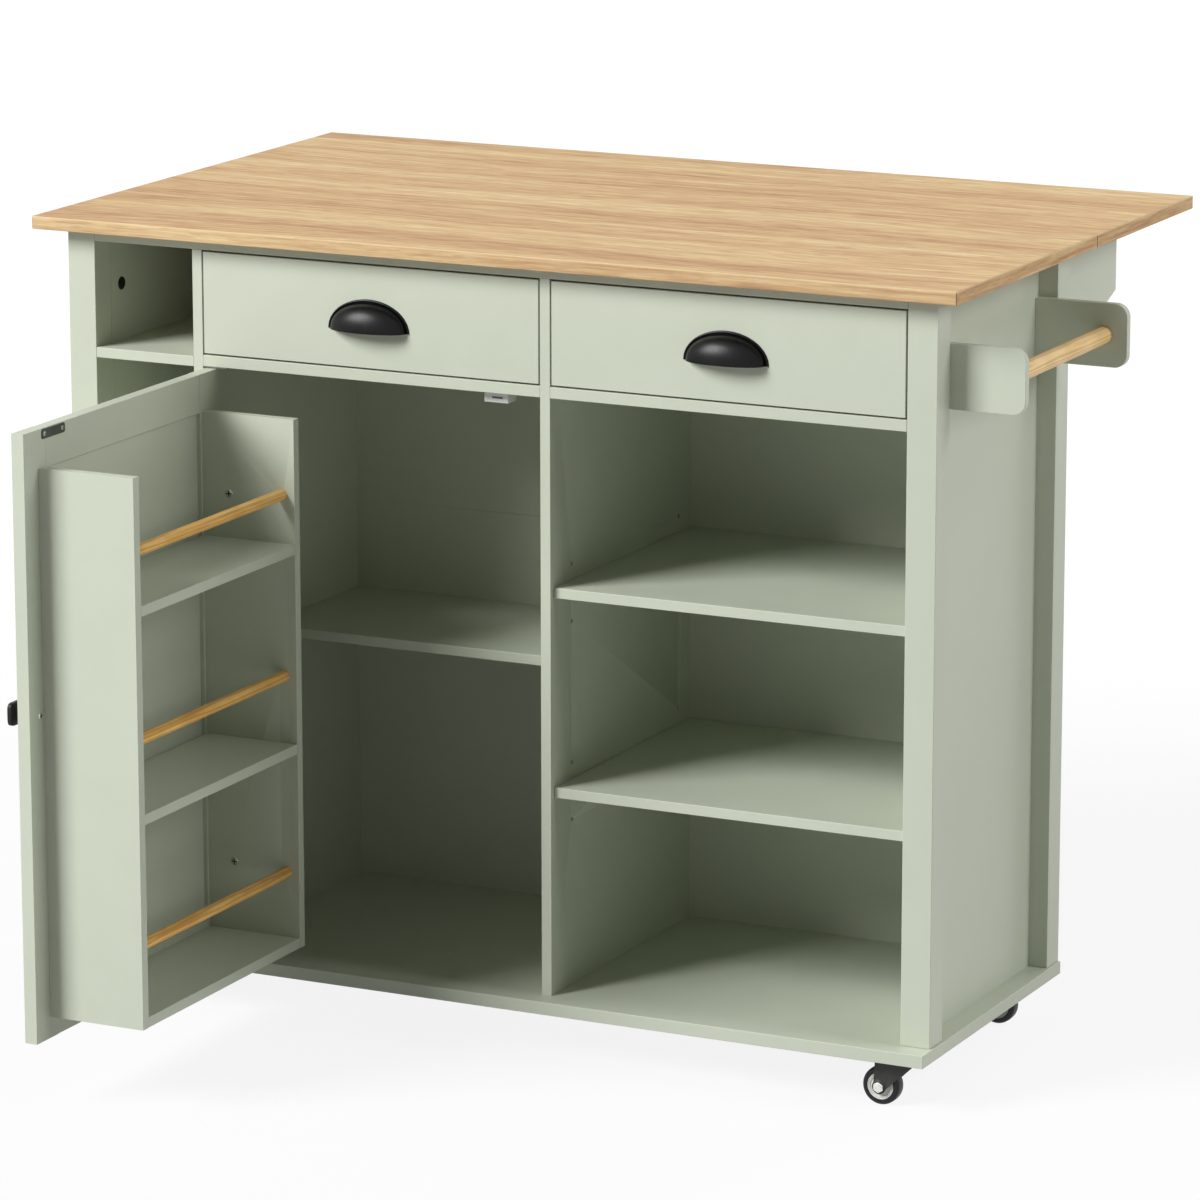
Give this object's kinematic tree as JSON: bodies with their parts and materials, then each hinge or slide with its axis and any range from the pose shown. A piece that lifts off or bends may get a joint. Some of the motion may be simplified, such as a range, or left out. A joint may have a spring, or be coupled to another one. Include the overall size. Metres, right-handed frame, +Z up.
{
  "type": "kitchen island",
  "caption": "Rolling painted kitchen island with a wooden drop-leaf worktop, drawers with cup pulls, a door carrying a spice rack, open shelves, a towel bar and casters.",
  "frame": {"origin": "on the floor, under the middle of the object's box as it stands at rest, with the leaf raised and the spice rack door open by a quarter turn", "axes": "+X to the right along the worktop towards the towel bar, -Y towards the user who faces the drawers, +Z up"},
  "size_m": [1.1956, 1.102, 0.92],
  "materials": {
    "painted_board": "satin paint on fibreboard",
    "worktop_board": "oak-look laminate, satin",
    "drawer_board": "painted board, matt",
    "dowel_wood": "bare light wood, sanded",
    "black_metal": "black lacquer, satin",
    "bright_metal": "zinc plated",
    "white_plastic": "moulded, satin",
    "wheel_rubber": "black tyre on a pale hub"
  },
  "bodies": {
    "cabinet": {"worktop": "worktop_board", "top_rail_front": "painted_board", "top_rail_rear": "painted_board", "post_front_left": "painted_board", "post_front_right": "painted_board", "post_rear_left": "painted_board", "post_rear_right": "painted_board", "side_panel_left": "painted_board", "side_panel_right": "painted_board", "divider_left": "painted_board", "divider_middle": "painted_board", "drawer_rails": "painted_board", "back_boards": "painted_board", "base_board": "painted_board", "column_shelves": "painted_board", "bay_shelf": "painted_board", "open_shelves": "painted_board", "shelf_pins": "bright_metal", "cam_covers": "black_metal", "door_catch": "white_plastic", "door_pivot_plates": "bright_metal", "cabinet_runners": "bright_metal", "towel_plates": "painted_board", "towel_bar": "dowel_wood", "caster_plates": "black_metal", "leaf_hinge_plates": "bright_metal"},
    "leaf": {"drop_leaf": "worktop_board", "leaf_hinge_leaves": "bright_metal", "support_hinges": "bright_metal"},
    "right_support": {"support_right": "painted_board"},
    "left_support": {"support_left": "painted_board"},
    "door": {"door_stiles": "painted_board", "door_rails": "painted_board", "door_panel": "painted_board", "rack_sides": "painted_board", "rack_shelves": "painted_board", "rack_dowels": "dowel_wood", "door_knob": "black_metal", "strike_plate": "black_metal", "door_screws": "bright_metal"},
    "left_drawer": {"drawer_left_front": "painted_board", "drawer_left_box": "drawer_board", "drawer_left_pull": "black_metal", "drawer_left_runners": "bright_metal"},
    "right_drawer": {"drawer_right_front": "painted_board", "drawer_right_box": "drawer_board", "drawer_right_pull": "black_metal", "drawer_right_runners": "bright_metal"},
    "front_left_caster": {"fork_front_left": "black_metal", "axle_front_left": "bright_metal"},
    "front_left_wheel": {"wheel_front_left": "wheel_rubber"},
    "front_right_caster": {"fork_front_right": "black_metal", "axle_front_right": "bright_metal"},
    "front_right_wheel": {"wheel_front_right": "wheel_rubber"},
    "rear_left_caster": {"fork_rear_left": "black_metal", "axle_rear_left": "bright_metal"},
    "rear_left_wheel": {"wheel_rear_left": "wheel_rubber"},
    "rear_right_caster": {"fork_rear_right": "black_metal", "axle_rear_right": "bright_metal"},
    "rear_right_wheel": {"wheel_rear_right": "wheel_rubber"}
  },
  "joints": [
    {"name": "leaf_fold", "type": "hinge", "parent": "cabinet", "child": "leaf", "pos_m": [-0.02775, 0.2475, 0.902], "axis": [1, 0, 0], "range_deg": [-90, 0]},
    {"name": "right_support_fold", "type": "hinge", "parent": "leaf", "child": "right_support", "pos_m": [0.46035, 0.365, 0.9025], "axis": [0, 1, 0], "range_deg": [0, 90]},
    {"name": "left_support_fold", "type": "hinge", "parent": "leaf", "child": "left_support", "pos_m": [-0.51585, 0.365, 0.9025], "axis": [0, 1, 0], "range_deg": [-90, 0]},
    {"name": "door_swing", "type": "hinge", "parent": "cabinet", "child": "door", "pos_m": [-0.38575, -0.131, 0.41525], "axis": [0, 0, 1], "range_deg": [-20, 90]},
    {"name": "left_drawer_slide", "type": "slide", "parent": "cabinet", "child": "left_drawer", "axis": [0, -1, 0], "range_m": [0, 0.25]},
    {"name": "right_drawer_slide", "type": "slide", "parent": "cabinet", "child": "right_drawer", "axis": [0, -1, 0], "range_m": [0, 0.25]},
    {"name": "front_left_swivel", "type": "hinge", "parent": "cabinet", "child": "front_left_caster", "pos_m": [-0.52575, -0.1255, 0.054], "axis": [0, 0, 1], "continuous": true},
    {"name": "front_left_roll", "type": "hinge", "parent": "front_left_caster", "child": "front_left_wheel", "pos_m": [-0.54375, -0.1255, 0.022], "axis": [0, 1, 0], "continuous": true},
    {"name": "front_right_swivel", "type": "hinge", "parent": "cabinet", "child": "front_right_caster", "pos_m": [0.47025, -0.1255, 0.054], "axis": [0, 0, 1], "continuous": true},
    {"name": "front_right_roll", "type": "hinge", "parent": "front_right_caster", "child": "front_right_wheel", "pos_m": [0.45225, -0.1255, 0.022], "axis": [0, 1, 0], "continuous": true},
    {"name": "rear_left_swivel", "type": "hinge", "parent": "cabinet", "child": "rear_left_caster", "pos_m": [-0.52575, 0.21, 0.054], "axis": [0, 0, 1], "continuous": true},
    {"name": "rear_left_roll", "type": "hinge", "parent": "rear_left_caster", "child": "rear_left_wheel", "pos_m": [-0.54375, 0.21, 0.022], "axis": [0, 1, 0], "continuous": true},
    {"name": "rear_right_swivel", "type": "hinge", "parent": "cabinet", "child": "rear_right_caster", "pos_m": [0.47025, 0.21, 0.054], "axis": [0, 0, 1], "continuous": true},
    {"name": "rear_right_roll", "type": "hinge", "parent": "rear_right_caster", "child": "rear_right_wheel", "pos_m": [0.45225, 0.21, 0.022], "axis": [0, 1, 0], "continuous": true}
  ],
  "couplings": [
    {"joint": "right_support_fold", "follows": "leaf_fold", "ratio": -1},
    {"joint": "left_support_fold", "follows": "leaf_fold", "ratio": 1}
  ]
}
